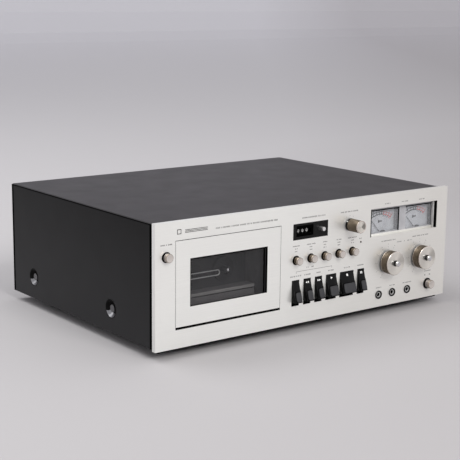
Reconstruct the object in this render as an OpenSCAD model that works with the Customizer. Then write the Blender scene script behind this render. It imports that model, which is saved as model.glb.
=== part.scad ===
// Front-loading cassette deck, built as separate pieces.
// Inside deck() a point is (x from the panel's left edge, y back from its front face, z up from its bottom edge).

/* [Front panel] */
// Width of the aluminium front panel
panel_w = 410; // [409:0.5:412]
// Height of the front panel
panel_h = 129; // [128:0.5:131]
// Thickness of the front panel
panel_t = 5.5; // [5.4:0.1:5.5]

/* [Case] */
// Depth from the panel's front face to the cover's rear edge
case_depth = 303; // [300:1:310]
// Thickness of the sheet steel
sheet = 1.2; // [1:0.1:1.2]
// How far the cover stands in from each end of the panel
cover_inset = 2.3; // [2:0.1:2.5]
// Bend radius along the cover's top edges
cover_bend = 2.5; // [2:0.1:3]
// Height of the feet below the panel
foot_h = 10; // [8:0.5:12]
// Radius of a foot
foot_r = 14; // [12:0.5:15]

/* [Cassette bay] */
// Centre of the cassette, from the panel's left edge
tape_x = 91.2; // [91:0.1:91.4]
// Height of the two reel axes
reel_z = 62.7; // [62.5:0.1:63]
// Distance between the two reel axes
reel_pitch = 42.5; // [42.4:0.1:42.6]
// Front face of the mechanism plate
plate_y = 41; // [41:0.1:41.2]
// Radius of the capstan
capstan_r = 1.25; // [1.2:0.05:1.25]

/* [Controls] */
// Radius of the level knobs
level_r = 13.4; // [13:0.1:13.6]
// How far the level knobs stand out of the panel
level_out = 12.8; // [12:0.1:13.5]
// Radius of the output knob
output_r = 7; // [6.5:0.1:7.2]
// How far the output knob stands out of the panel
output_out = 19; // [19:0.1:19]
// Radius of the small push buttons
button_r = 4.25; // [4:0.05:4.4]
// How far the small push buttons stand out
button_out = 7; // [6:0.5:7.5]
// Running clearance of a shaft in its bore
fit = 0.05; // [0.03:0.01:0.08]

/* [Hidden] */
$fn = 48;

// Overall depth is the output knob, the case and the phono sockets
socket_out = 9;
front_y = -(case_depth + socket_out - output_out) / 2;

// Front sub-panel, a steel plate behind the aluminium one
sub_t = 3;
sub_back = panel_t + sub_t;
sub_inset = 5.5;

// Cover and bottom
cover_top = panel_h - 1.4;
cover_low = 0.5;
floor_top = cover_low + sheet;
side_in = cover_inset + sheet;
flange_x = 7.1;
flange_top = 42;
cup_y = [86.2, 253.2];
cup_z = 25.6;
cup_r = 10.3;
cup_deep = 4;
rear_y = case_depth - 3;
foot_x = [34, 376];
foot_y = [50, 262];
rear_screw_x = [60, 150, 250, 350];
rear_screw_z = 9;

// Door, in its opening in the panel
door_x = [24.5, 158];
door_z = [21.6, 109.3];
door_t = 3.2;
door_cut_x = [24.1, 158.4];
door_cut_z = [19.8, 109.6];
window_x = [42, 140.4];
window_z = [40.9, 90];
hinge_y = 3.5;
hinge_z = 23.4;
hinge_pin_r = 1;

// Tape path
supply_x = tape_x - reel_pitch / 2;
takeup_x = tape_x + reel_pitch / 2;
reel_pin_r = 1.5;
capstan_x = 117;
capstan_z = 37;
flywheel_r = 29.5;
flywheel_y = [50, 58];
motor_x = 55;
motor_z = 92;
pulley_r = 5;
belt_gap = 0.4;
belt_t = 1;
strap_angle = 48.4;
strap_reach = 35;
roller_x = 117;
roller_z = 24.7;
roller_r = 6;
arm_x = 138;
arm_z = 20;

// Transport keys: centre and slot width of each, left to right
KEYS = [[179.5, 10.4], [195.8, 10.4], [211.9, 10.4], [230.3, 15.2], [253.4, 20.4], [274.5, 10.4]];
slot_z = [20, 48.4];
key_gap = 0.4;
key_pivot_y = 14;
key_pivot_z = 51.5;
key_rod_r = 2;
bracket_x = [170, 284];

// Small buttons
BUTTONS = [179.7, 200.3, 220.2, 240.5, 260.7];
button_z = 70;
button_hole_r = 5.15;
eject_at = [13.4, 94.6];
eject_r = 4.5;
power_at = [382.1, 16.2];
power_r = 5;
output_at = [255.6, 100.5];
LEVELS = [316.3, 366.9];
level_z = 51;
trim_r = 3;
trim_out = 17.8;
lamp_at = [273.2, 78.9];
lamp_r = 0.95;
JACKS = [303.3, 324.5, 348.7];
jack_z = 14.1;
jack_bore_r = 3.25;
jack_mouth_r = 3.6;

// Tape counter
counter_x = [174.9, 223.7];
counter_z = [92, 109.3];
wheel_r = 7.2;
wheel_w = 5.4;
wheel_pitch = 5.8;
wheel_x = 184.6;
wheel_y = 10.6;
wheel_z = 100.65;
reset_at = [213.5, 101.2];
reset_r = 2.2;

// Level meters
meter_cut_x = [287.4, 393.3];
meter_cut_z = [82, 113.7];
METERS = [315, 369.8];
meter_half = 22;
meter_window_z = [84.4, 110.3];
scale_y = 13.5;
needle_z = 82;
needle_l = 20.5;
needle_rest = -43;

// Rear sockets
SOCKETS = [302, 320, 338, 356];
socket_z = 32;
socket_r = 4.1;
socket_bore_r = 1.6;
gland_at = [52, 32];

module deck() translate([-panel_w / 2, front_y, foot_h]) children();
// A block between two x, two y and two z values
module block(x, y, z) translate([x[0], y[0], z[0]]) cube([x[1] - x[0], y[1] - y[0], z[1] - z[0]]);
// A round bar from front to back, and one from left to right
module bar_y(at, y, r) translate([at[0], y[0], at[1]]) rotate([-90, 0, 0]) cylinder(r = r, h = y[1] - y[0]);
module bar_x(at, x, r) translate([x[0], at[0], at[1]]) rotate([0, 90, 0]) cylinder(r = r, h = x[1] - x[0]);
module bar_z(at, z, r) translate([at[0], at[1], z[0]]) cylinder(r = r, h = z[1] - z[0]);
// A (y, z) outline drawn out along x
module along_x(x) translate([x[0], 0, 0]) rotate([90, 0, 90]) linear_extrude(x[1] - x[0]) children();
function grow(span, by) = [span[0] - by, span[1] + by];
function mirrored(x) = panel_w - x;

// ---------- panels and case ----------

module front_panel() color("gainsboro") deck() difference() {
    block([0, panel_w], [0, panel_t], [0, panel_h]);
    block(door_cut_x, [-1, panel_t + 1], door_cut_z);
    block(grow(counter_x, 0.1), [-1, panel_t + 1], grow(counter_z, 0.1));
    block(meter_cut_x, [-1, panel_t + 1], meter_cut_z);
    for (k = KEYS) block([k[0] - k[1] / 2, k[0] + k[1] / 2], [-1, panel_t + 1], slot_z);
    for (x = BUTTONS) bar_y([x, button_z], [-1, panel_t + 1], button_hole_r);
    for (x = LEVELS) bar_y([x, level_z], [-1, panel_t + 1], 5);
    for (x = JACKS) bar_y([x, jack_z], [-1, panel_t + 1], 4.5);
    bar_y(output_at, [-1, panel_t + 1], 4);
    bar_y(eject_at, [-1, panel_t + 1], 5.5);
    bar_y(power_at, [-1, panel_t + 1], 6.5);
    bar_y(lamp_at, [-1, panel_t + 1], lamp_r + 0.05);
    for (x = [[door_cut_x[0] - 4, door_cut_x[0] + 1], [door_cut_x[1] - 1, door_cut_x[1] + 4]])
        bar_x([hinge_y, hinge_z], x, hinge_pin_r);
}

module sub_panel() color("dimgray") deck() difference() {
    block([sub_inset, mirrored(sub_inset)], [panel_t, sub_back], [3, panel_h - 4]);
    block([21, 161], [0, 20], [16, 112]);
    block(grow(counter_x, 0.2), [0, 20], grow(counter_z, 0.2));
    block([286.4, 397.6], [0, 20], [76.9, 116.6]);
    block([172, 282], [0, 20], [18.5, 49.5]);
    for (x = BUTTONS) bar_y([x, button_z], [0, 20], button_hole_r);
    for (x = LEVELS) bar_y([x, level_z], [0, 20], 5);
    for (x = JACKS) bar_y([x, jack_z], [0, 20], 4.5);
    bar_y(output_at, [0, 20], 4);
    bar_y(eject_at, [0, 20], 5.5);
    bar_y(power_at, [0, 20], 6.5);
    bar_y(lamp_at, [0, 20], lamp_r + 0.05);
}

module bottom_plate() color("silver") deck() difference() {
    union() {
        block([side_in + 0.1, mirrored(side_in + 0.1)], [sub_back, rear_y], [cover_low, floor_top]);
        block([flange_x, flange_x + sheet], [sub_back, rear_y], [cover_low, flange_top]);
        block([mirrored(flange_x + sheet), mirrored(flange_x)], [sub_back, rear_y], [cover_low, flange_top]);
        block([flange_x, mirrored(flange_x)], [sub_back, sub_back + sheet], [cover_low, 6]);
        block([flange_x, mirrored(flange_x)], [rear_y - sheet, rear_y], [cover_low, 16]);
    }
    for (y = cup_y) bar_x([y, cup_z], [0, panel_w], 1.9);
    for (x = foot_x, y = foot_y) bar_z([x, y], [-1, 5], 1.9);
    for (x = rear_screw_x) bar_y([x, rear_screw_z], [rear_y - 3, rear_y + 1], 1.45);
    for (i = [0:9], y = [120, 165]) block([210 + 16 * i, 214 + 16 * i], [y, y + 30], [-1, 5]);
}

module rear_panel() color("#2a2a2c") deck() difference() {
    translate([0, rear_y + sheet, 0]) rotate([90, 0, 0]) linear_extrude(sheet)
        cover_outline(sheet + 0.1, cover_top);
    block([0, panel_w], [rear_y - 1, rear_y + 3], [-5, cover_low]);
    for (x = SOCKETS) bar_y([x, socket_z], [rear_y - 1, rear_y + 3], 6);
    for (x = rear_screw_x) bar_y([x, rear_screw_z], [rear_y - 1, rear_y + 3], 1.6);
    bar_y(gland_at, [rear_y - 1, rear_y + 3], 6.1);
}

module cover_outline(in, top) union() {
    translate([cover_inset + in, -1]) square([panel_w - 2 * (cover_inset + in), top - cover_bend + 1 - in]);
    translate([cover_inset + cover_bend, 0])
        square([panel_w - 2 * (cover_inset + cover_bend), top - in]);
    for (x = [cover_inset + cover_bend, mirrored(cover_inset + cover_bend)])
        translate([x, top - cover_bend]) circle(r = cover_bend - in);
}

module top_cover() color("#232325") deck() difference() {
    translate([0, case_depth, 0]) rotate([90, 0, 0]) linear_extrude(case_depth - sub_back)
        difference() {
            cover_outline(0, cover_top);
            cover_outline(sheet, cover_top);
        }
    block([0, panel_w], [0, case_depth + 1], [-5, cover_low]);
    for (y = cup_y) bar_x([y, cup_z], [-1, panel_w + 1], cup_r + 0.1);
}

// A dished washer in the side of the cover, its mouth towards -x
module cup(y) translate([cover_inset, y, cup_z]) rotate([0, 90, 0]) rotate_extrude()
    polygon([[2.1, cup_deep], [5.4, cup_deep], [cup_r - 1, 0], [cup_r, 0], [6, cup_deep + 0.8], [2.1, cup_deep + 0.8]]);
module both_sides() {
    children();
    translate([panel_w, 0, 0]) mirror([1, 0, 0]) children();
}
module screw_cups() color("#2a2a2c") deck() both_sides() for (y = cup_y) cup(y);

// A pan-head screw along +z from the seat of its head
module screw(head_r, head_h, shank_r, shank_l) {
    translate([0, 0, -head_h]) cylinder(r = head_r, h = head_h);
    translate([0, 0, -0.5]) cylinder(r = shank_r, h = shank_l + 0.5);
}
module screws() color("silver") deck() {
    both_sides() for (y = cup_y)
        translate([cover_inset + cup_deep, y, cup_z]) rotate([0, 90, 0]) screw(4, 2.2, 1.8, 8);
    for (x = foot_x, y = foot_y) translate([x, y, -1.6]) screw(4.2, 2.4, 1.8, 7);
    for (x = rear_screw_x)
        translate([x, rear_y + sheet, rear_screw_z]) rotate([90, 0, 0]) screw(3, 1.6, 1.4, 6);
}

module feet() color("#1d1d1f") deck() for (x = foot_x, y = foot_y) translate([x, y, -foot_h]) difference() {
    cylinder(r = foot_r, h = foot_h + cover_low);
    translate([0, 0, -1]) cylinder(r = 7, h = foot_h - 1.6 + 1);
    cylinder(r = 2.2, h = foot_h + 2);
}

// ---------- mechanism ----------

module mechanism_plate() color("#46464a") deck() {
    difference() {
        union() {
            block([15, 168], [plate_y, plate_y + 1.5], [6, 121]);
            for (x = [19, 164], z = [11, 117]) bar_y([x, z], [sub_back, plate_y + 0.5], 3);
            rotate_about(capstan_x, capstan_z, -strap_angle) for (s = [-1, 1])
                bar_y([s * strap_reach, 0], [plate_y + 1, 60.2], 2.5);
        }
        bar_y([capstan_x, capstan_z], [plate_y - 1, plate_y + 3], 4);
    }
    difference() {
        rotate_about(capstan_x, capstan_z, -strap_angle)
            block([-strap_reach - 4, strap_reach + 4], [60.2, 61.7], [-4, 4]);
        bar_y([capstan_x, capstan_z], [58, 65], capstan_r + fit);
    }
}
module rotate_about(x, z, a) translate([x, 0, z]) rotate([0, a, 0]) children();

module pivot_pins() color("lightsteelblue") deck() {
    for (x = [supply_x, takeup_x]) bar_y([x, reel_z], [31, plate_y], reel_pin_r);
    bar_y([arm_x, arm_z], [34, plate_y], reel_pin_r);
    difference() {
        bar_y([capstan_x, capstan_z], [38.8, 48], 4);
        bar_y([capstan_x, capstan_z], [37, 50], capstan_r + fit);
    }
    for (x = [[door_cut_x[0] - 4, door_x[0] + 4], [door_x[1] - 4, door_cut_x[1] + 4]])
        bar_x([hinge_y, hinge_z], x, hinge_pin_r);
    bar_x([key_pivot_y, key_pivot_z], bracket_x, key_rod_r);
}

module key_bracket() color("silver") deck() difference() {
    union() {
        for (x = [bracket_x[0], bracket_x[1] - 2]) block([x, x + 2], [sub_back, 35.5], [17, 57]);
        block(bracket_x, [34, 35.5], [17, 57]);
    }
    bar_x([key_pivot_y, key_pivot_z], grow(bracket_x, 1), key_rod_r);
}

module motor() color("#8d8f93") deck() {
    difference() {
        union() {
            bar_y([motor_x, motor_z], [60, 92], 17.5);
            bar_y([motor_x, motor_z], [92, 95], 6);
            for (a = [60, 140, 220])
                bar_y([motor_x + 14 * cos(a), motor_z + 14 * sin(a)], [plate_y + 1.5, 61], 2.2);
        }
        bar_y([motor_x, motor_z], [59, 75], 1 + fit);
    }
}

// A flat belt round two pulleys
module belt_loop(grow_by) hull() {
    translate([capstan_x, capstan_z]) circle(r = flywheel_r + grow_by);
    translate([motor_x, motor_z]) circle(r = pulley_r + grow_by);
}
module belts() color("#141414") deck() translate([0, 56, 0]) rotate([90, 0, 0]) linear_extrude(4)
    difference() {
        belt_loop(belt_gap + belt_t);
        belt_loop(belt_gap);
    }

// Switch bodies behind the buttons, potentiometers behind the knobs, and the record lamp
module switch_body(x, z, y) block([x - 5.5, x + 5.5], y, [z - 6, z + 6]);
module dual_pot(x) difference() {
    bar_y([x, level_z], [sub_back, 27], 10);
    bar_y([x, level_z], [sub_back - 1, 14.5], 4 + fit);
    bar_y([x, level_z], [sub_back - 1, 21], 2 + fit);
}
module controls() color("#2e4a3c") deck() {
    for (x = BUTTONS) switch_body(x, button_z, [22, 44]);
    switch_body(power_at[0], power_at[1], [28, 54]);
    difference() {
        bar_y(output_at, [sub_back, 22], 8.5);
        bar_y(output_at, [sub_back - 1, 18], 3 + fit);
    }
    for (x = LEVELS) dual_pot(x);
    bar_y(lamp_at, [-0.4, 14], lamp_r);
}

module front_jacks() color("#18181a") deck() for (x = JACKS) difference() {
    union() {
        bar_y([x, jack_z], [-0.9, 0], 4.75);
        bar_y([x, jack_z], [-0.5, sub_back + 1], 4.4);
        block([x - 7, x + 7], [sub_back, 32], [jack_z - 6, jack_z + 6]);
    }
    bar_y([x, jack_z], [-2, sub_back + 0.5], jack_mouth_r);
    bar_y([x, jack_z], [sub_back, 24], jack_bore_r);
}

module counter_housing() color("#141416") deck() {
    difference() {
        block(counter_x, [0.3, 24], counter_z);
        block(grow(counter_x, -1), [2.6, 25], grow(counter_z, -1));
        block([179.6, 203.3], [-1, 5], [95, 106.8]);
        bar_y(reset_at, [-1, 5], reset_r + 0.2);
    }
    block([205, 206.5], [2.6, 24], grow(counter_z, -1));
    bar_x([wheel_y, wheel_z], [counter_x[0] + 1, 205], 1.5);
}

module meter_frame() color("#b9b9bb") deck() difference() {
    union() {
        block([286.5, 397.5], [panel_t + 0.1, 7.2], [77, 116.5]);
        block([289.5, 395.2], [7, scale_y - 0.1], [77.2, 114.5]);
    }
    for (x = METERS) {
        block([x - meter_half, x + meter_half], [0, 20], meter_window_z);
        block([x - meter_half, x + meter_half], [10.5, 20], [78.5, 112.5]);
    }
}

module meter_units() color("white") deck() for (x = METERS) {
    block([x - meter_half - 2, x + meter_half + 2], [scale_y, 30], [77.5, 114]);
    bar_y([x, 96], [30, 42], 14);
    bar_y([x, needle_z], [11.2, scale_y + 1], 0.8);
}

module meter_glass() color("lightblue", 0.4) deck() for (x = METERS)
    block([x - meter_half, x + meter_half], [6, 7], meter_window_z);

// ---------- electronics ----------

module transformer() color("#77706a") deck() {
    block([26, 82], [190, 236], [6, 52]);
    block([32, 76], [178, 190], [12, 46]);
    block([32, 76], [236, 248], [12, 46]);
    for (y = [183, 237]) block([18, 90], [y, y + 6], [floor_top, 6]);
}

board_top = 15.6;
module main_board() color("#6b4a1f") deck() {
    block([180, 396], [70, 284], [14, board_top]);
    for (x = [190, 288, 386], y = [80, 274]) bar_z([x, y], [floor_top, 14], 3);
}

module board_parts() color("#30343a") deck() {
    for (i = [0:7]) bar_z([205 + 22 * i, 120], [board_top, board_top + 16], 5);
    for (i = [0:4]) bar_z([215 + 36 * i, 160], [board_top, board_top + 24], 8);
    for (i = [0:3], y = [190, 230]) block([200 + 46 * i, 222 + 46 * i], [y, y + 9], [board_top, board_top + 5]);
    block([210, 290], [262, 265], [board_top, board_top + 45]);
    for (i = [0:7]) block([212 + 10 * i, 214 + 10 * i], [265, 277], [board_top, board_top + 45]);
}

module phono_sockets() color("goldenrod") deck() {
    difference() {
        block([SOCKETS[0] - 11, SOCKETS[3] + 11], [rear_y + sheet, rear_y + sheet + 1.5],
              [socket_z - 10, socket_z + 10]);
        for (x = SOCKETS) bar_y([x, socket_z], [rear_y, rear_y + 5], socket_r + 0.1);
    }
    for (x = SOCKETS) difference() {
        bar_y([x, socket_z], [291, case_depth + socket_out], socket_r);
        bar_y([x, socket_z], [rear_y + sheet + 3, case_depth + socket_out + 1], socket_bore_r);
    }
}

module mains_gland() color("#18181a") deck() difference() {
    union() {
        bar_y(gland_at, [rear_y + sheet, rear_y + sheet + 2.5], 8.5);
        bar_y(gland_at, [294, case_depth + 6], 6);
    }
    bar_y(gland_at, [290, case_depth + 8], 3.5);
}

// ---------- door ----------

module door_panel() color("gainsboro") deck() difference() {
    union() {
        block(door_x, [0, door_t], door_z);
        for (x = [[door_x[0] + 0.4, door_x[0] + 5], [door_x[1] - 5, door_x[1] - 0.4]])
            bar_x([hinge_y, hinge_z], x, 1.8);
    }
    block(grow(window_x, 0.1), [-1, 10], grow(window_z, 0.1));
    for (x = [[door_x[0] - 1, door_x[0] + 6], [door_x[1] - 6, door_x[1] + 1]])
        bar_x([hinge_y, hinge_z], x, hinge_pin_r + fit);
}

module door_window() color("#3a3a3e", 0.5) deck() {
    block(window_x, [0.9, door_t], window_z);
    block([38, 144.4], [door_t, 4.4], [37, 94]);
}

module cassette_holder() color("#2b2b2e") deck() {
    for (x = [[35.5, 40.9], [141.5, 146.9]]) block(x, [4.6, 39], [26, 90]);
    for (x = [[30.5, 37.5], [144.9, 151.9]]) block(x, [door_t, 4.6], [28, 92]);
    block([40.9, 141.5], [5, 12], [26, 36]);
    block([49.6, 132.8], [12, 25], [26, 49.5]);
}

module holder_springs() color("silver") deck() {
    for (z = [61.1, 66.5]) bar_x([24.8, z], [40.9, 94], 0.6);
    translate([94, 24.8, 63.8]) rotate([90, 0, 0]) intersection() {
        rotate_extrude() translate([2.7, 0]) circle(r = 0.6);
        translate([0, -5, -5]) cube([10, 10, 10]);
    }
}

// ---------- keys, buttons and knobs ----------

module push_button(at, r, out, back) {
    bar_y(at, [-out, 10], r);
    bar_y(at, [9, back], 3);
}
module eject_button() color("#7d7060") deck() push_button(eject_at, eject_r, 6, 26);

key_outline = [[0.2, 47.9], [-6.5, 24.6], [-6.2, 24.2], [3, 24.2], [9, 44.5], [16, 44.5], [16, 24], [19, 24],
               [19, 50], [14, 51.5], [11, 47.9]];
pad_outline = [[-2.3, 37.3], [-3.5, 37.3], [-7.1, 24.8], [-6.8, 24.4], [-5, 24.4]];
boss_outline = [[-3.4, 35.9], [-5.3, 35.5], [-8.6, 26], [-8, 25.4], [-6.5, 25.4]];
module key_lever(i) {
    x = KEYS[i][0];
    half = KEYS[i][1] / 2 - key_gap;
    deck() difference() {
        union() {
            along_x([x - half, x + half]) polygon(key_outline);
            bar_x([key_pivot_y, key_pivot_z], [x - half, x + half], 4.5);
            along_x([x - half, x + half]) polygon(pad_outline);
            along_x([x - half + 1.4, x + half - 1.4]) polygon(boss_outline);
        }
        bar_x([key_pivot_y, key_pivot_z], [x - half - 1, x + half + 1], key_rod_r + fit);
    }
}
module record_key() color("#1c1c1e") key_lever(0);
module rewind_key() color("#1c1c1e") key_lever(1);
module fast_forward_key() color("#1c1c1e") key_lever(2);
module play_key() color("#1c1c1e") key_lever(3);
module stop_key() color("#1c1c1e") key_lever(4);
module pause_key() color("#1c1c1e") key_lever(5);

module small_button(i) color("#7d7060") deck() push_button([BUTTONS[i], button_z], button_r, button_out, 18);
module memory_button() small_button(0);
module timer_button() small_button(1);
module noise_filter_button() small_button(2);
module bias_button() small_button(3);
module input_button() small_button(4);
module power_button() color("#7d7060") deck() push_button(power_at, power_r, 7.5, 23);

module output_knob() color("#b8a88f") deck() {
    bar_y(output_at, [-output_out, -1], output_r);
    bar_y(output_at, [-1.5, 17.5], 3);
}

module level_knob(x) color("#b8a88f") deck() difference() {
    union() {
        bar_y([x, level_z], [-level_out, -1], level_r);
        bar_y([x, level_z], [-1.5, 14], 4);
    }
    bar_y([x, level_z], [-level_out - 1, -8.2], trim_r + 0.25);
    bar_y([x, level_z], [-level_out - 1, 15], 2 + fit);
}
module trim_knob(x) color("#e2d8c8") deck() {
    bar_y([x, level_z], [-trim_out, -8.6], trim_r);
    bar_y([x, level_z], [-9, 20], 2);
}
module mic_level_knob() level_knob(LEVELS[0]);
module mic_trim_knob() trim_knob(LEVELS[0]);
module line_level_knob() level_knob(LEVELS[1]);
module line_trim_knob() trim_knob(LEVELS[1]);

// ---------- counter and meters ----------

module counter_wheel(i) color("#202022") deck() {
    x = wheel_x + wheel_pitch * i;
    difference() {
        bar_x([wheel_y, wheel_z], [x - wheel_w / 2, x + wheel_w / 2], wheel_r);
        bar_x([wheel_y, wheel_z], [x - wheel_w, x + wheel_w], 1.5 + fit);
    }
}
module counter_wheel_hundreds() counter_wheel(0);
module counter_wheel_tens() counter_wheel(1);
module counter_wheel_units() counter_wheel(2);
module reset_button() color("silver") deck() bar_y(reset_at, [-5.5, 16], reset_r);

module meter_needle(x) color("black") deck() difference() {
    union() {
        bar_y([x, needle_z], [11.6, 13], 2);
        rotate_about(x, needle_z, needle_rest) block([-0.3, 0.3], [12, 12.5], [1, needle_l]);
    }
    bar_y([x, needle_z], [10, 14], 0.8 + fit);
}
module meter_needle_left() meter_needle(METERS[0]);
module meter_needle_right() meter_needle(METERS[1]);

// ---------- tape transport ----------

// Spindle with three fins, on a turntable, in front of the mechanism plate
module reel(x) color("#cfcfd2") deck() difference() {
    union() {
        bar_y([x, reel_z], [38, 40.2], 13);
        bar_y([x, reel_z], [30, 39], 3.6);
        for (a = [90, 210, 330])
            rotate_about(x, reel_z, a) block([0, 4.7], [31.5, 39], [-0.6, 0.6]);
    }
    bar_y([x, reel_z], [29, 41], reel_pin_r + fit);
}
module supply_reel() reel(supply_x);
module takeup_reel() reel(takeup_x);

module flywheel() color("#a9adb3") deck() {
    bar_y([capstan_x, capstan_z], [28, 62.5], capstan_r);
    bar_y([capstan_x, capstan_z], flywheel_y, flywheel_r);
    bar_y([capstan_x, capstan_z], [48.5, 59.5], 6);
}

module motor_pulley() color("goldenrod") deck() {
    bar_y([motor_x, motor_z], [50, 57.5], pulley_r);
    for (y = [49, 57]) bar_y([motor_x, motor_z], [y, y + 1], pulley_r + 1.6);
    bar_y([motor_x, motor_z], [48, 74], 1);
}

module head_bridge() color("silver") deck() {
    block([62, 108], [38.4, 40.4], [10, 24]);
    block([80, 103], [27, 38.4], [10, 12.5]);
    block([64, 74], [27, 38.4], [10, 12.5]);
}
module tape_heads() color("#9a9ca1") deck() {
    block([tape_x - 6, tape_x + 6], [28.5, 38], [12.5, 26.2]);
    block([65, 73], [28.5, 38], [12.5, 26.2]);
}

module pinch_arm() color("silver") deck() {
    difference() {
        union() {
            bar_y([arm_x, arm_z], [35, 38.2], 3.5);
            bar_y([roller_x, roller_z], [37, 38.2], 3.5);
            rotate_about(arm_x, arm_z, atan2(roller_z - arm_z, arm_x - roller_x))
                block([-21.5, 0], [37, 38.2], [-2.5, 2.5]);
        }
        bar_y([arm_x, arm_z], [30, 42], reel_pin_r + fit);
    }
    bar_y([roller_x, roller_z], [29, 37.5], 1.5);
}
module pinch_roller() color("#1a1a1a") deck() difference() {
    bar_y([roller_x, roller_z], [29.2, 36.6], roller_r);
    bar_y([roller_x, roller_z], [28, 38], 1.5 + fit);
}

front_panel();
sub_panel();
bottom_plate();
rear_panel();
top_cover();
screw_cups();
screws();
feet();
mechanism_plate();
pivot_pins();
key_bracket();
motor();
belts();
controls();
front_jacks();
counter_housing();
meter_frame();
meter_units();
meter_glass();
transformer();
main_board();
board_parts();
phono_sockets();
mains_gland();
door_panel();
door_window();
cassette_holder();
holder_springs();
eject_button();
record_key();
rewind_key();
fast_forward_key();
play_key();
stop_key();
pause_key();
memory_button();
timer_button();
noise_filter_button();
bias_button();
input_button();
power_button();
output_knob();
mic_level_knob();
mic_trim_knob();
line_level_knob();
line_trim_knob();
counter_wheel_hundreds();
counter_wheel_tens();
counter_wheel_units();
reset_button();
meter_needle_left();
meter_needle_right();
supply_reel();
takeup_reel();
flywheel();
motor_pulley();
head_bridge();
tape_heads();
pinch_arm();
pinch_roller();
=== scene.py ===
"""Looks of the cassette deck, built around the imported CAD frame."""
import math
import random

import bmesh
import bpy
from mathutils import Matrix, Vector


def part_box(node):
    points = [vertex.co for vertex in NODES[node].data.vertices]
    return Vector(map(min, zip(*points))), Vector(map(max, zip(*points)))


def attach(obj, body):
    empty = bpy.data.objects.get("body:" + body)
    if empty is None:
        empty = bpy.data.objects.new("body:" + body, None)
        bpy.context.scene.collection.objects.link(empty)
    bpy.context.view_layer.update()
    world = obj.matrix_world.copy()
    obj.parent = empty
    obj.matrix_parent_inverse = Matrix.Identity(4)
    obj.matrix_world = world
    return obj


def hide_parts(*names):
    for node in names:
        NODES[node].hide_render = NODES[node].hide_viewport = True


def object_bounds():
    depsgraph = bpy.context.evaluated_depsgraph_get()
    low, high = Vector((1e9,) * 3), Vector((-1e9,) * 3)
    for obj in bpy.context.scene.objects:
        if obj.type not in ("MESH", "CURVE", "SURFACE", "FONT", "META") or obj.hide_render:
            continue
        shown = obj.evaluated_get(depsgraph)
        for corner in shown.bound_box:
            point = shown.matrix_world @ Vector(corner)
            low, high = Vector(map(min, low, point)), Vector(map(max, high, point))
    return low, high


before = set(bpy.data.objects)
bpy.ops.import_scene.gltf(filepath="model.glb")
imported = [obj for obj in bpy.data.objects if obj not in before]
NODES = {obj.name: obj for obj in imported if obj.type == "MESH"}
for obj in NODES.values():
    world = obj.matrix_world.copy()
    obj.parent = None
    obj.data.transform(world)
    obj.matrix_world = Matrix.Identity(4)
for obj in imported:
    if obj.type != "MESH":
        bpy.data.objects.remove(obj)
cad_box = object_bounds()

MM = 0.001
# Panel coordinates: x from the front panel's left edge, y back from its front face, z up from its bottom edge
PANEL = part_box("front_panel")[0]
PANEL_SIZE = (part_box("front_panel")[1] - PANEL) / MM
COLLECTION = bpy.context.scene.collection
REAR_FACE = 301.2  # the back of the rear panel
# Centres of the phono sockets, the front jacks, the meters' windows and the record lamp
SOCKETS, SOCKET_Z = (302, 320, 338, 356), 32.0
JACKS, JACK_Z = (303.3, 324.5, 348.7), 14.1
WINDOWS = (315.0, 369.8)
LAMP_X, LAMP_Z = 273.2, 78.9


def mm_box(node):
    """A CAD node's box in panel coordinates, in millimetres."""
    low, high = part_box(node)
    return (low - PANEL) / MM, (high - PANEL) / MM


def mid(node):
    """The middle of a CAD node's box, in the same coordinates."""
    low, high = mm_box(node)
    return (low + high) / 2


# ---------------------------------------------------------------- materials


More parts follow.
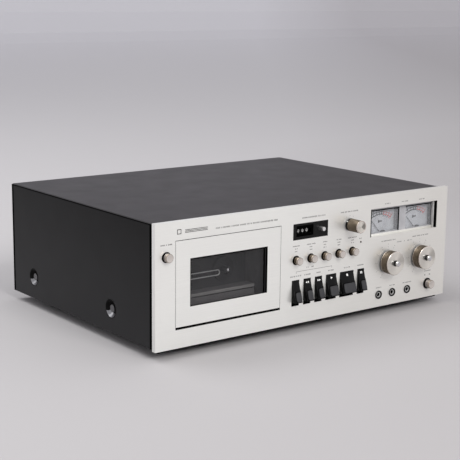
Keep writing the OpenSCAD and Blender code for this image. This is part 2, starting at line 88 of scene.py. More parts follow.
class Shader:
    """A material with a Principled shader and short calls for the nodes in front of it."""

    def __init__(self, name, color, rough, metal=0.0, **sockets):
        self.mat = bpy.data.materials.new(name)
        self.mat.use_nodes = True
        self.tree = self.mat.node_tree
        self.bsdf = self.tree.nodes["Principled BSDF"]
        self.set("Base Color", (*color, 1))
        self.set("Roughness", rough)
        self.set("Metallic", metal)
        for socket, value in sockets.items():
            self.set(socket.replace("_", " "), value)
        self.color, self.rough = color, rough
        self.coords = self.tree.nodes.new("ShaderNodeTexCoord").outputs["Object"]
        self.height = None

    def give(self, socket, value):
        """Links another node's output to a socket, or sets a plain value there."""
        if isinstance(value, bpy.types.NodeSocket):
            self.tree.links.new(value, socket)
        else:
            socket.default_value = value

    def set(self, socket, value):
        self.give(self.bsdf.inputs[socket], value)

    def node(self, kind, **inputs):
        made = self.tree.nodes.new("ShaderNode" + kind)
        for key, value in inputs.items():
            self.give(made.inputs[key.replace("_", " ")], value)
        return made

    def combine(self, kind, operation, first, second):
        """A Math or VectorMath node that works on two values."""
        made = self.node(kind)
        made.operation = operation
        for socket, value in zip(made.inputs, (first, second)):
            self.give(socket, value)
        return made

    def axis(self, letter):
        return self.node("SeparateXYZ", Vector=self.coords).outputs[letter]

    def spread(self, value, low, high, top=1.0):
        """A value mapped so that low becomes 0 and high becomes top, and held there beyond them."""
        made = self.node("MapRange", Value=value, From_Min=low, From_Max=high, To_Max=top)
        return made.outputs["Result"]

    def stretched(self, x, y, z):
        return self.node("Mapping", Vector=self.coords, Scale=(x, y, z)).outputs["Vector"]

    def noise(self, scale, detail=3.0, vector=None):
        made = self.node("TexNoise", Vector=vector or self.coords, Scale=scale, Detail=detail)
        return made.outputs["Fac"]

    def ramp(self, fac, low, high, start=0.3, end=0.7):
        made = self.node("ValToRGB", Fac=fac)
        for element, place, value in zip(made.color_ramp.elements, (start, end), (low, high)):
            element.position = place
            element.color = value if len(value) == 4 else (*value, 1)
        return made.outputs["Color"]

    def vary_color(self, fac, spread=0.08, start=0.3, end=0.7):
        low = tuple(c * (1 - spread) for c in self.color)
        high = tuple(min(1, c * (1 + spread)) for c in self.color)
        self.set("Base Color", self.ramp(fac, low, high, start, end))

    def vary_rough(self, fac, spread=0.08):
        low, high = max(0.02, self.rough - spread), min(1, self.rough + spread)
        made = self.node("MapRange", Value=fac, To_Min=low, To_Max=high)
        self.set("Roughness", made.outputs["Result"])

    def bump(self, fac, depth_mm, strength=1.0):
        """Adds a bump to those already there; depth is the height of a full step of fac."""
        made = self.node("Bump", Height=fac, Strength=strength, Distance=depth_mm * MM)
        if self.height is not None:
            self.give(made.inputs["Normal"], self.height)
        self.height = made.outputs["Normal"]
        self.set("Normal", self.height)


def brushed(name, color, rough, metal):
    """Satin metal with fine parallel scratches along X, and faint handling marks."""
    s = Shader(name, color, rough, metal)
    grain = s.noise(1.0, 4, s.stretched(26, 2600, 2600))
    s.vary_color(grain, 0.03, 0.25, 0.75)
    s.vary_rough(s.noise(24, 4), 0.035)
    s.bump(grain, 0.003, 0.4)
    return s


def fascia_metal():
    """The fascia's brushed aluminium, with painted shade that makes it a little darker toward the right."""
    s = brushed("panel_aluminium", (0.935, 0.94, 0.908), 0.38, 0.72)
    metal = s.bsdf.inputs["Base Color"].links[0].from_socket
    # painted shade: the base colour darkens toward the right, for the light's falloff across the fascia
    painted_shade_right = s.ramp(s.spread(s.axis("X"), -0.04, 0.19), (1, 1, 1), (0.88, 0.862, 0.848), 0, 1)
    s.set("Base Color", s.combine("VectorMath", "MULTIPLY", metal, painted_shade_right).outputs["Vector"])
    return s.mat


def plastic(name, color, rough, grain_mm=0.25, depth=0.01, gloss=0.5):
    """Moulded plastic with a fine spark-eroded grain."""
    s = Shader(name, color, rough, Specular_IOR_Level=gloss)
    s.vary_color(s.noise(90, 4), 0.12)
    s.vary_rough(s.noise(160, 3), 0.06)
    s.bump(s.noise(1000 / grain_mm / 2, 2), depth, 0.6)
    return s.mat


def turned(name, color, rough):
    """Anodised metal off a lathe, with faint blotches and a micro finish."""
    s = Shader(name, color, rough, 1.0)
    s.vary_color(s.noise(220, 3), 0.06)
    s.vary_rough(s.noise(400, 3), 0.05)
    s.bump(s.noise(3500, 2), 0.003, 0.5)
    return s.mat


def lathed(name, color, rough, node, highlight_wedges):
    """A face turned on a lathe, with pale and dark wedges of painted highlight and painted reflection round its
    centre.

    The wedge rows are (part of a turn from 0 to 1, shade).
    """
    s = Shader(name, color, rough, 1.0)
    low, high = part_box(node)
    offset = s.combine("VectorMath", "SUBTRACT", s.coords, (low + high) / 2).outputs["Vector"]
    parts = s.node("SeparateXYZ", Vector=offset).outputs
    angle = s.combine("Math", "ARCTAN2", parts["Z"], parts["X"]).outputs["Value"]
    made = s.node("ValToRGB", Fac=s.spread(angle, -math.pi, math.pi))
    ramp = made.color_ramp
    while len(ramp.elements) < len(highlight_wedges):
        ramp.elements.new(0.5)
    for element, (place, shade) in zip(ramp.elements, highlight_wedges):
        element.position = place
        element.color = (*(min(1, v * shade) for v in color), 1)
    s.set("Base Color", made.outputs["Color"])
    s.vary_rough(s.noise(400, 3), 0.04)
    return s.mat


def coated_steel(name, color, rough):
    """Black vinyl coat on sheet steel: a fine leathery grain with soft wear."""
    s = Shader(name, color, rough, Specular_IOR_Level=0.27)
    s.vary_color(s.noise(14, 5), 0.14)
    s.vary_rough(s.noise(35, 4), 0.05)
    cells = s.node("TexVoronoi", Vector=s.coords, Scale=1300.0).outputs["Distance"]
    s.bump(cells, 0.03, 0.35)
    s.bump(s.noise(2600, 2), 0.02, 0.3)
    return s.mat


def cover_side():
    """The cover's upright sides: a darker copy of its coat as painted shade, darker still toward the top and
    lighter low down as painted floor bounce light.
    """
    s = Shader("cover_side", (0.004, 0.004, 0.0042), 0.42, Specular_IOR_Level=0.16)
    up = s.spread(s.axis("Z"), 0, 0.135)
    s.set("Base Color", s.ramp(up, (0.021, 0.021, 0.022), (0.0012, 0.0012, 0.0013), 0, 1))
    s.vary_rough(s.noise(35, 4), 0.05)
    s.bump(s.noise(2600, 2), 0.02, 0.4)
    return s.mat


def zinc(name, color, rough):
    """Plated or bare sheet steel, with a faint crystal pattern in its gloss."""
    s = Shader(name, color, rough, 1.0)
    s.vary_color(s.noise(45, 4), 0.12)
    s.vary_rough(s.node("TexVoronoi", Vector=s.coords, Scale=180.0).outputs["Distance"], 0.1)
    s.bump(s.noise(300, 3), 0.01, 0.3)
    return s.mat


def clear(name, color, rough, alpha):
    """Thin transparent plastic: see-through by alpha, with a gloss on top."""
    s = Shader(name, color, rough, Alpha=alpha, Specular_IOR_Level=0.5)
    s.vary_rough(s.noise(50, 3), 0.02)
    s.bump(s.noise(30, 2), 0.004, 0.2)
    return s.mat


MAT = {
    "panel": fascia_metal(),
    "panel_edge": brushed("panel_edge", (0.74, 0.73, 0.70), 0.3, 0.9).mat,
    "cover": coated_steel("cover_black", (0.0064, 0.005, 0.0056), 0.37),
    "mechanism": plastic("mechanism_black", (0.034, 0.033, 0.036), 0.55, 0.4, 0.01),
    "zinc": zinc("zinc_steel", (0.62, 0.63, 0.64), 0.34),
    "dull_zinc": zinc("dull_zinc", (0.24, 0.24, 0.245), 0.45),
    "black_plastic": plastic("black_plastic", (0.012, 0.012, 0.013), 0.38),
    "socket_white": plastic("socket_white", (0.62, 0.61, 0.58), 0.45),
    "socket_red": plastic("socket_red", (0.42, 0.03, 0.025), 0.45),
    "key": plastic("key_plastic", (0.0035, 0.0035, 0.0037), 0.24, 0.2, 0.004, gloss=0.13),
    "key_pad": plastic("key_pad", (0.034, 0.034, 0.037), 0.5, 0.2, 0.01, gloss=0.3),
    # matte black for real black parts, and as painted shade in gaps and recesses
    "mask": plastic("matte_black_and_painted_shade", (0.0012, 0.0012, 0.0012), 0.8, 0.2, 0.004, gloss=0.01),
    # painted shade: a darker copy of the cover's coat for its upright sides
    "side": cover_side(),
    # painted highlight for the screw cups' up-facing facets
    "cup": turned("cup_painted_highlight", (0.24, 0.24, 0.25), 0.3),
    "cup_black": plastic("cup_black", (0.002, 0.002, 0.002), 0.5, 0.2, 0.002, gloss=0.1),
    "bezel": plastic("bezel_plastic", (0.004, 0.004, 0.004), 0.3, 0.2, 0.004, gloss=0.2),
    "holder": plastic("holder_plastic", (0.125, 0.118, 0.122), 0.42),
    "grey_plastic": plastic("grey_plastic", (0.40, 0.40, 0.415), 0.42, 0.2, 0.006),
    "scale": plastic("scale_card", (0.40, 0.41, 0.435), 0.6, 0.3, 0.002),
    "bar": plastic("pale_bar_and_jack_highlight", (0.48, 0.475, 0.465), 0.45, 0.2, 0.006),
    "meter_dark_shade": plastic("meter_dark_shade", (0.045, 0.045, 0.047), 0.5, 0.2, 0.006),
    "meter_wall_shade": plastic("meter_wall_shade", (0.16, 0.16, 0.165), 0.5, 0.2, 0.006),
    "print": plastic("printed_ink", (0.018, 0.017, 0.017), 0.6, 0.3, 0.002, gloss=0.2),
    # soft grey ink, also used as painted light on the holder's ledge
    "soft_ink_and_light": plastic("soft_ink_and_painted_light", (0.22, 0.215, 0.21), 0.55, 0.3, 0.002),
    "print_red": plastic("printed_ink_red", (0.50, 0.08, 0.075), 0.6, 0.3, 0.002, gloss=0.2),
    "print_white": plastic("printed_ink_white", (0.85, 0.85, 0.83), 0.5, 0.3, 0.002),
    "champagne": turned("knob_champagne", (0.86, 0.81, 0.755), 0.3),
    # painted highlights: pale and dark wedges on the knobs' turned faces
    "output_face": lathed("output_face", (0.86, 0.83, 0.755), 0.3, "output_knob", (
        (0.0, 0.92), (0.17, 1.05), (0.3, 1.18), (0.38, 1.0), (0.41, 0.45), (0.6, 0.38), (0.65, 0.85),
        (0.74, 1.18), (0.88, 1.12), (1.0, 0.92))),
    "mic_face": lathed("mic_face", (0.85, 0.825, 0.76), 0.3, "mic_level_knob", (
        (0.0, 1.0), (0.12, 0.93), (0.3, 1.16), (0.42, 1.1), (0.52, 0.74), (0.6, 0.8), (0.7, 1.16),
        (0.84, 1.08), (1.0, 1.0))),
    "line_face": lathed("line_face", (0.85, 0.825, 0.76), 0.3, "line_level_knob", (
        (0.0, 1.0), (0.12, 0.93), (0.3, 1.16), (0.42, 1.1), (0.52, 0.70), (0.6, 0.76), (0.7, 1.16),
        (0.84, 1.08), (1.0, 1.0))),
    "champagne_edge": turned("knob_edge", (0.74, 0.66, 0.60), 0.24),
    "bronze": turned("button_bronze", (0.135, 0.108, 0.08), 0.42),
    "dark_bronze": turned("dark_bronze", (0.085, 0.064, 0.046), 0.4),
    "button_edge": turned("button_edge", (0.36, 0.31, 0.265), 0.34),
    "button_grey": turned("button_grey", (0.27, 0.245, 0.235), 0.38),
    "steel": turned("polished_steel", (0.72, 0.72, 0.73), 0.16),
    "brass": turned("brass_part", (0.72, 0.55, 0.27), 0.24),
    "iron": zinc("core_iron", (0.20, 0.185, 0.17), 0.55),
    "board": plastic("board_laminate", (0.24, 0.13, 0.05), 0.45),
    "component": plastic("component_body", (0.05, 0.055, 0.08), 0.35),
    "rubber": plastic("rubber", (0.018, 0.018, 0.018), 0.75, 0.4, 0.02),
    "reel": plastic("reel_plastic", (0.012, 0.012, 0.013), 0.4),
    "smoked": clear("smoked_window", (0.062, 0.062, 0.065), 0.08, 0.22),
    "glass": clear("clear_window", (0.8, 0.82, 0.85), 0.06, 0.10),
    "lamp": plastic("lamp_red", (0.03, 0.004, 0.004), 0.25, 0.3, 0.002, gloss=0.2),
    "screw_black": turned("screw_black", (0.05, 0.05, 0.052), 0.3),
    "screw_grey": turned("screw_grey", (0.15, 0.15, 0.155), 0.3),
    "nickel": turned("jack_nickel", (0.80, 0.80, 0.80), 0.4),
}


# ---------------------------------------------------------------- mesh helpers


def dress(node, mat, bevel_mm):
    """A CAD node keeps its shape and takes a material; a bevel also rounds its edges and shades it smooth."""
    obj = NODES[node]
    obj.data.materials.clear()
    obj.data.materials.append(MAT[mat])
    obj.data.polygons.foreach_set("material_index", [0] * len(obj.data.polygons))
    if bevel_mm:
        obj.data.polygons.foreach_set("use_smooth", [True] * len(obj.data.polygons))
        obj.modifiers.new("weld", "WELD").merge_threshold = 0.00001
        bevel = obj.modifiers.new("bevel", "BEVEL")
        bevel.width = bevel_mm * MM
        bevel.segments = 2
        bevel.limit_method = "ANGLE"
        bevel.angle_limit = math.radians(40)
        obj.modifiers.new("normals", "WEIGHTED_NORMAL").weight = 100


def paint(node, mat, chosen):
    """Gives another material to the faces of a CAD node for which chosen(centre, normal) holds.

    The centre is in panel coordinates, in millimetres.
    """
    mesh = NODES[node].data
    mesh.materials.append(MAT[mat])
    for face in mesh.polygons:
        if chosen((face.center - PANEL) / MM, face.normal):
            face.material_index = len(mesh.materials) - 1


def piece(bm, name, mats, body, replaced=(), smooth_deg=35):
    """Turns a bmesh in panel millimetres into a piece that rides on a body."""
    bmesh.ops.recalc_face_normals(bm, faces=bm.faces)
    bm.transform(Matrix.Translation(PANEL) @ Matrix.Scale(MM, 4))
    mesh = bpy.data.meshes.new(name)
    bm.to_mesh(mesh)
    bm.free()
    for mat in mats:
        mesh.materials.append(MAT[mat])
    mesh.polygons.foreach_set("use_smooth", [True] * len(mesh.polygons))
    mesh.set_sharp_from_angle(angle=math.radians(smooth_deg))
    obj = bpy.data.objects.new(name, mesh)
    COLLECTION.objects.link(obj)
    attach(obj, body)
    if replaced:
        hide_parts(*replaced)


def finish(bm, faces, mat, bevel, flat=()):
    """Gives faces a material and, if bevel is given, rounds their edges apart from the flat ones."""
    for f in faces:
        f.material_index = mat
    if bevel:
        edges = [e for e in dict.fromkeys(e for f in faces for e in f.edges) if e not in flat]
        rounded = bmesh.ops.bevel(bm, geom=edges, offset=bevel, segments=2, affect="EDGES", profile=0.5)
        for f in rounded["faces"]:
            f.material_index = mat


def band(bm, a, b):
    """The strip of faces between two loops of vertices."""
    turn = [(i, (i + 1) % len(a)) for i in range(len(a))]
    return [bm.faces.new((a[i], a[j], b[j], b[i])) for i, j in turn]


def loft(bm, front, back):
    """The faces of a solid between two loops of vertices."""
    return [bm.faces.new(front), bm.faces.new(back)] + band(bm, front, back)


def add_box(bm, x, y, z, mat=0, bevel=0.0):
    """A block between two x, y and z values, with rounded edges if bevel is given."""
    low, high = Vector((x[0], y[0], z[0])), Vector((x[1], y[1], z[1]))
    place = Matrix.Translation((low + high) / 2) @ Matrix.Diagonal((*(high - low), 1))
    made = bmesh.ops.create_cube(bm, size=1, matrix=place)
    finish(bm, list(dict.fromkeys(f for v in made["verts"] for f in v.link_faces)), mat, bevel)
    return made


def add_frame(bm, outer_x, outer_z, inner_x, inner_z, y, mat, bevel):
    """A flat rectangular ring between two y values."""
    rings = []
    for (x0, x1), (z0, z1) in ((outer_x, outer_z), (inner_x, inner_z)):
        for at_y in y:
            rings.append([bm.verts.new((px, at_y, pz)) for px, pz in ((x0, z0), (x1, z0), (x1, z1), (x0, z1))])
    outer_front, outer_back, inner_front, inner_back = rings
    faces = []
    for a, b in ((outer_front, inner_front), (outer_back, inner_back), (outer_front, outer_back),
                 (inner_front, inner_back)):
        faces += band(bm, a, b)
    flat = [e for f in faces for e in f.edges if e.verts[0] in outer_front and e.verts[1] in inner_front]
    finish(bm, faces, mat, bevel, flat)


def add_lathe(bm, x, z, profile, steps=0, knurl=(0, -1, 0, 0)):
    """Turns (radius, y, material) rows about a front-to-back axis.

    knurl is (first row, last row, depth, teeth); without steps, the teeth set the count.
    """
    first, last, depth, teeth = knurl
    count = steps or teeth * 2
    rings = []
    for row, (radius, y, _) in enumerate(profile):
        if radius == 0:
            rings.append([bm.verts.new((x, y, z))])
            continue
        ring = []
        for i in range(count):
            r = radius - (depth if first <= row <= last and i % 2 else 0)
            a = 2 * math.pi * i / count
            ring.append(bm.verts.new((x + r * math.cos(a), y, z + r * math.sin(a))))
        rings.append(ring)
    for row in range(len(rings) - 1):
        a, b = rings[row], rings[row + 1]
        for i in range(count):
            j = (i + 1) % count
            corners = [a[i % len(a)], a[j % len(a)], b[j % len(b)], b[i % len(b)]]
            corners = [v for k, v in enumerate(corners) if v not in corners[:k]]
            if len(corners) > 2:
                bm.faces.new(corners).material_index = profile[row + 1][2]


def add_prism(bm, outline, x, mat, bevel):
    """A (y, z) outline drawn out along x."""
    front, back = ([bm.verts.new((at_x, y, z)) for y, z in outline] for at_x in x)
    finish(bm, loft(bm, front, back), mat, bevel)


INK = 0.04  # thickness of printed ink, in millimetres


def ink_box(bm, x, z, mat=0, y=0.0):
    """A flat printed mark on the face at y."""
    add_box(bm, x, (y - INK, y - INK / 4), z, mat)


def ink_words(bm, x, z, height, rng, mat):
    """Small print as rows of plain strokes, with no letters."""
    place = x[0]
    while place < x[1] - 0.5:
        width = min(rng.uniform(0.45, 0.95), x[1] - place)
        tall = height * rng.uniform(0.75, 1.0)
        ink_box(bm, (place, place + width), (z - tall / 2, z + tall / 2), mat)
        place += width + (0.35 if rng.random() < 0.82 else 1.3)


def digit_mesh(bm, digit, matrix, height, mat=0):
    """A dial numeral, height in millimetres, placed by matrix with its middle at the origin."""
    curve = bpy.data.curves.new("numeral", "FONT")
    curve.body = digit
    curve.size = height / 0.7
    curve.align_x, curve.align_y = "CENTER", "CENTER"
    curve.extrude = INK / 2
    curve.resolution_u = 3
    obj = bpy.data.objects.new("numeral", curve)
    COLLECTION.objects.link(obj)
    mesh = bpy.data.meshes.new_from_object(obj.evaluated_get(bpy.context.evaluated_depsgraph_get()))
    mesh.transform(matrix)
    before = len(bm.faces)
    bm.from_mesh(mesh)
    bm.faces.ensure_lookup_table()
    for f in bm.faces[before:]:
        f.material_index = mat
    bpy.data.objects.remove(obj)
    bpy.data.curves.remove(curve)
    bpy.data.meshes.remove(mesh)


def arc_strip(bm, cx, cz, y, radius, width, start, end, mat):
    """A curved line between two angles, in degrees from straight up, to the right positive."""
    steps = max(3, int(abs(end - start) / 3))
    inner, outer = [], []
    for i in range(steps + 1):
        a = math.radians(start + (end - start) * i / steps)
        for ring, r in ((inner, radius - width / 2), (outer, radius + width / 2)):
            ring.append([bm.verts.new((cx + r * math.sin(a), y - d, cz + r * math.cos(a))) for d in (0, INK)])
    for i in range(steps):
        for quad in (
            (inner[i][1], inner[i + 1][1], outer[i + 1][1], outer[i][1]),
            (inner[i][0], outer[i][0], outer[i + 1][0], inner[i + 1][0]),
            (inner[i][0], inner[i + 1][0], inner[i + 1][1], inner[i][1]),
            (outer[i][0], outer[i][1], outer[i + 1][1], outer[i + 1][0]),
        ):
            bm.faces.new(quad).material_index = mat
    for end_pair in ((inner[0], outer[0]), (inner[-1], outer[-1])):
        (a0, a1), (b0, b1) = end_pair
        bm.faces.new((a0, a1, b1, b0)).material_index = mat


def facing(x, y, z):
    """Stands a flat drawing up, facing the front."""
    return Matrix.Translation((x, y, z)) @ Matrix.Rotation(math.pi / 2, 4, "X")


# ---------------------------------------------------------------- carried-over CAD nodes

for node, mat, bevel in (
    ("front_panel", "panel", 0.07), ("door_panel", "panel", 0.07), ("top_cover", "cover", 0.25),
    ("rear_panel", "cover", 0.2), ("sub_panel", "mask", 0.0), ("bottom_plate", "dull_zinc", 0.2),
    ("screw_cups", "cup_black", 0.0), ("feet", "rubber", 0.8), ("mechanism_plate", "mechanism", 0.2),
    ("pivot_pins", "steel", 0.15), ("key_bracket", "zinc", 0.2), ("motor", "zinc", 0.4),
    ("belts", "rubber", 0.1), ("controls", "component", 0.0), ("front_jacks", "black_plastic", 0.2),
    ("counter_housing", "bezel", 0.2), ("meter_frame", "grey_plastic", 0.5), ("meter_units", "scale", 0.0),
    ("meter_glass", "glass", 0.0),
    ("transformer", "iron", 0.4), ("main_board", "board", 0.2), ("board_parts", "component", 0.3),
    ("phono_sockets", "brass", 0.2), ("mains_gland", "black_plastic", 0.3), ("door_window", "smoked", 0.1),
    ("cassette_holder", "holder", 0.5), ("holder_springs", "nickel", 0.0), ("supply_reel", "reel", 0.15),
    ("takeup_reel", "reel", 0.15), ("flywheel", "steel", 0.2), ("motor_pulley", "brass", 0.1),
    ("head_bridge", "zinc", 0.2), ("tape_heads", "steel", 0.4), ("pinch_arm", "zinc", 0.2),
    ("pinch_roller", "rubber", 0.3),
    ("counter_wheel_hundreds", "bezel", 0.15), ("counter_wheel_tens", "bezel", 0.15),
    ("counter_wheel_units", "bezel", 0.15), ("reset_button", "nickel", 0.4), ("screws", "screw_grey", 0.3),
):
    dress(node, mat, bevel)

RIM = 2  # the fascia's outer edges lie closer to its outline than this
SILL_RIGHT_OF, SILL_BELOW = 280, 83
SOCKET_RADIUS = 4.6
FRAME_FRONT = 13.3  # the meter frame's walls in front of the scale
FRAME_X = (288, 393)
FRAME_END = 380


def is_cut_edge(c, n):
    """Whether a face is a wall of one of the fascia's openings, apart from the sill under the meters."""
    inside = RIM < c.x < PANEL_SIZE.x - RIM and RIM < c.z < PANEL_SIZE.z - RIM
    sill = c.x > SILL_RIGHT_OF and c.z < SILL_BELOW and n.z > 0.5
    return abs(n.y) < 0.5 and inside and not sill


def is_socket_plate(c, n):
    """Whether a face lies outside all the phono sockets' shells."""
    return min(math.hypot(c.x - x, c.z - SOCKET_Z) for x in SOCKETS) > SOCKET_RADIUS


# painted shade: the walls of the fascia's openings, and the door's edges and back, are matte black for the
# shade in the gaps
paint("front_panel", "mask", is_cut_edge)
paint("door_panel", "mask", lambda c, n: abs(n.y) < 0.5 or n.y > 0.5)
# painted shade: the cover's upright sides take the darker copy of its coat
paint("top_cover", "side", lambda c, n: abs(n.x) > 0.7)
# painted highlight: the up-facing facets of each screw cup take a pale metal, for the bright crescent on its
# lower slope
paint("screw_cups", "cup", lambda c, n: n.z > 0.3 and 0.2 < abs(n.x) < 0.95)
paint("phono_sockets", "black_plastic", is_socket_plate)
paint("controls", "lamp", lambda c, n: (c.x - LAMP_X) ** 2 + (c.z - LAMP_Z) ** 2 < 2 and c.y < 12)
# Painted shade on the right walls and tops of the meters' windows, and on the frame's right end
paint("meter_frame", "meter_wall_shade",
      lambda c, n: (n.x < -0.5 or n.z < -0.5) and c.y < FRAME_FRONT and FRAME_X[0] < c.x < FRAME_X[1])
paint("meter_frame", "meter_dark_shade",
      lambda c, n: n.x < -0.5 and c.y < FRAME_FRONT and FRAME_END < c.x < FRAME_X[1])


# ---------------------------------------------------------------- keys

KEY_NODES = ("record_key", "rewind_key", "fast_forward_key", "play_key", "stop_key", "pause_key")
KEY_TOP_Y, KEY_TOP_Z = 0.2, 47.9  # where the slanted front starts
KEY_TILT = math.atan2(6.7, 23.3)  # it comes 6.7 mm forward over 23.3 mm down
MARK_Z = 44.3
MARK_SCALE = 1.12
PAD_DEPTH = 0.7  # how far below the slant's edge the pads stand on it


def key_front(z):
    """The y of a key's slanted front at a height."""
    return KEY_TOP_Y - (KEY_TOP_Z - z) * math.tan(KEY_TILT)


def key_mark(bm, name, x):
    """White transport symbols on the slanted front of a key, near its top."""
    def place(points):
        rows = []
        for depth in (0.0, INK):
            rows.append([])
            for u, v in points:
                z = MARK_Z + v * MARK_SCALE * math.cos(KEY_TILT)
                rows[-1].append(bm.verts.new((x + u * MARK_SCALE, key_front(z) - depth - 0.01, z)))
        finish(bm, loft(bm, *rows), 3, 0)

    if name == "rewind_key":
        for u in (-1.6, 0.6):
            place([(u - 0.9, 0), (u + 1.0, 1.0), (u + 1.0, -1.0)])
    elif name == "fast_forward_key":
        for u in (-0.8, 1.4):
            place([(u + 0.9, 0), (u - 1.0, 1.0), (u - 1.0, -1.0)])
    elif name == "play_key":
        place([(1.3, 0), (-1.0, 1.2), (-1.0, -1.2)])
    elif name == "stop_key":
        place([(-1.0, 1.1), (1.0, 1.1), (1.0, -1.1), (-1.0, -1.1)])
    elif name == "pause_key":
        for u in (-0.75, 0.75):
            place([(u - 0.45, 1.1), (u + 0.45, 1.1), (u + 0.45, -1.1), (u - 0.45, -1.1)])


def make_key(name):
    """A key: its slanted front, the arm behind it, a lip along the foot, and a raised pad with its mark, ringed
    with painted shadow.
    """
    low, high = mm_box(name)
    x = (low.x, high.x)
    bm = bmesh.new()
    add_prism(bm, [(KEY_TOP_Y, KEY_TOP_Z), (-6.5, 24.6), (-6.2, 24.2), (3, 24.2), (9, 44.5), (9.6, KEY_TOP_Z)],
              x, 0, 0.25)
    add_prism(bm, [(9.2, 44.5), (16, 44.5), (16, 24), (19, 24), (19, 52), (16.5, 55.4), (11.5, 55.4),
                   (9.8, 50)], (x[0] + 0.05, x[1] - 0.05), 0, 0.3)
    add_prism(bm, [(-2.6, 37.4), (-3.4, 37.3), (-7.1, 25.0), (-6.9, 24.4), (-5.6, 24.3)], x, 0, 0.3)
    boss = [(x[0] + 1.3, 25.8), (x[1] - 1.3, 25.8), (x[1] - 1.3, 35.8), (x[0] + 1.3, 35.8)]
    add_pad(bm, boss, 2.2, (1.9, 0.6), 2)
    # painted shadow: a black outline a little wider and lower than the pad, round its edge
    inner = [(a + 0.5 * (1 if a > low.x + 3 else -1), b + 0.5 * (1 if b > 30 else -1)) for a, b in boss]
    add_pad(bm, inner, 2.6, (0.5, 0.2), 4)
    key_mark(bm, name, (x[0] + x[1]) / 2)
    piece(bm, name + "_moulding", ["key", "key_pad", "key_pad", "print_white", "mask"], name,
          [name], 30)


def add_pad(bm, corners, radius, rise, mat):
    """A rounded-rectangle boss on the slanted key front, drawn as stacked outlines.

    rise is its height and how much of that its soft edge takes.
    """
    (x0, z0), (x1, _), (_, z1), _ = corners
    high, soft = rise
    rings = []
    for inset, lift in ((0, -0.4), (0, high - soft), (soft * 0.3, high - soft * 0.3), (soft, high)):
        ring = []
        for cx, cz, start in ((x1 - radius, z1 - radius, 0), (x0 + radius, z1 - radius, 90),
                              (x0 + radius, z0 + radius, 180), (x1 - radius, z0 + radius, 270)):
            for step in range(7):
                a = math.radians(start + step * 15)
                z = cz + (radius - inset) * math.sin(a)
                place = (cx + (radius - inset) * math.cos(a), key_front(z) - PAD_DEPTH - lift, z)
                ring.append(bm.verts.new(place))
        rings.append(ring)
    faces = [f for a, b in zip(rings, rings[1:]) for f in band(bm, a, b)]
    finish(bm, faces + [bm.faces.new(rings[0]), bm.faces.new(rings[-1])], mat, 0)


for key in KEY_NODES:
    make_key(key)


# ---------------------------------------------------------------- knobs and buttons


def make_button(node, side="dark_bronze"):
    """A turned button: darker side, pale rounded tip with a slight dish, and a thin stem, matte black from its
    foot back as painted shade in the hole's gap.
    """
    low, high = mm_box(node)
    c = mid(node)
    r = (high.x - low.x) / 2
    tip, back = low.y, high.y
    bm = bmesh.new()
    # painted shade: the side is matte black from just in front of the panel back, for the gap round the hole
    add_lathe(bm, c.x, c.z, [
        (0, tip + 0.3, 1), (r * 0.55, tip + 0.22, 1), (r - 0.6, tip, 1), (r - 0.4, tip, 2), (r, tip + 0.45, 2),
        (r, tip + 1.9, 2), (r - 0.12, tip + 2.0, 2), (r - 0.12, tip + 2.15, 0), (r - 0.02, tip + 2.25, 0),
        (r - 0.02, -1.6, 0), (r - 0.02, -1.58, 3), (r - 0.02, 9.6, 3), (r - 0.4, 10, 3), (3, 10, 3),
        (3, back - 0.3, 0), (2.7, back, 0), (0, back, 0)], 48)
    piece(bm, node + "_turned", [side, "champagne", "button_edge", "mask"], node, [node])


for button in ("memory_button", "timer_button", "noise_filter_button", "bias_button", "input_button"):
    make_button(button)
make_button("eject_button", "button_grey")
make_button("power_button", "button_grey")


OUTPUT_MARK = -142  # the turn of the output knob's white mark, in degrees
SHAFT_RADIUS = 2.06  # the hole of a level knob, where the trim knob's shaft runs


def make_output_knob():
    """A tall knurled cap over a black base ring that has a white mark."""
    low, high = mm_box("output_knob")
    c = mid("output_knob")
    r = (high.x - low.x) / 2
    tip = low.y
    bm = bmesh.new()
    add_lathe(bm, c.x, c.z, [
        (0, tip + 0.25, 1), (r - 1.1, tip + 0.25, 1), (r - 0.85, tip, 2), (r - 0.4, tip, 2),
        (r, tip + 0.45, 2), (r, tip + 0.7, 2), (r - 0.2, tip + 0.8, 0), (r - 0.05, tip + 1.0, 0),
        (r - 0.05, -3.5, 0), (r - 0.3, -3.3, 0), (r - 0.9, -3.2, 3), (r - 0.9, -2.9, 3), (r, -2.8, 3),
        (r, -1.2, 3), (r - 0.3, -1, 3), (3, -1, 3), (3, high.y - 0.4, 0), (2.6, high.y, 0),
        (0, high.y, 0)], knurl=(7, 8, 0.16, 60))
    turn = Matrix.Translation((c.x, 0, c.z)) @ Matrix.Rotation(math.radians(OUTPUT_MARK), 4, "Y")
    made = add_box(bm, (r - 0.4, r + 0.05), (-2.85, -1.1), (-0.55, 0.55), 4)
    bmesh.ops.transform(bm, matrix=turn, verts=made["verts"])
    piece(bm, "output_knob_turned", ["bronze", "output_face", "champagne_edge", "key", "print_white"],
          "output_knob", ["output_knob"])


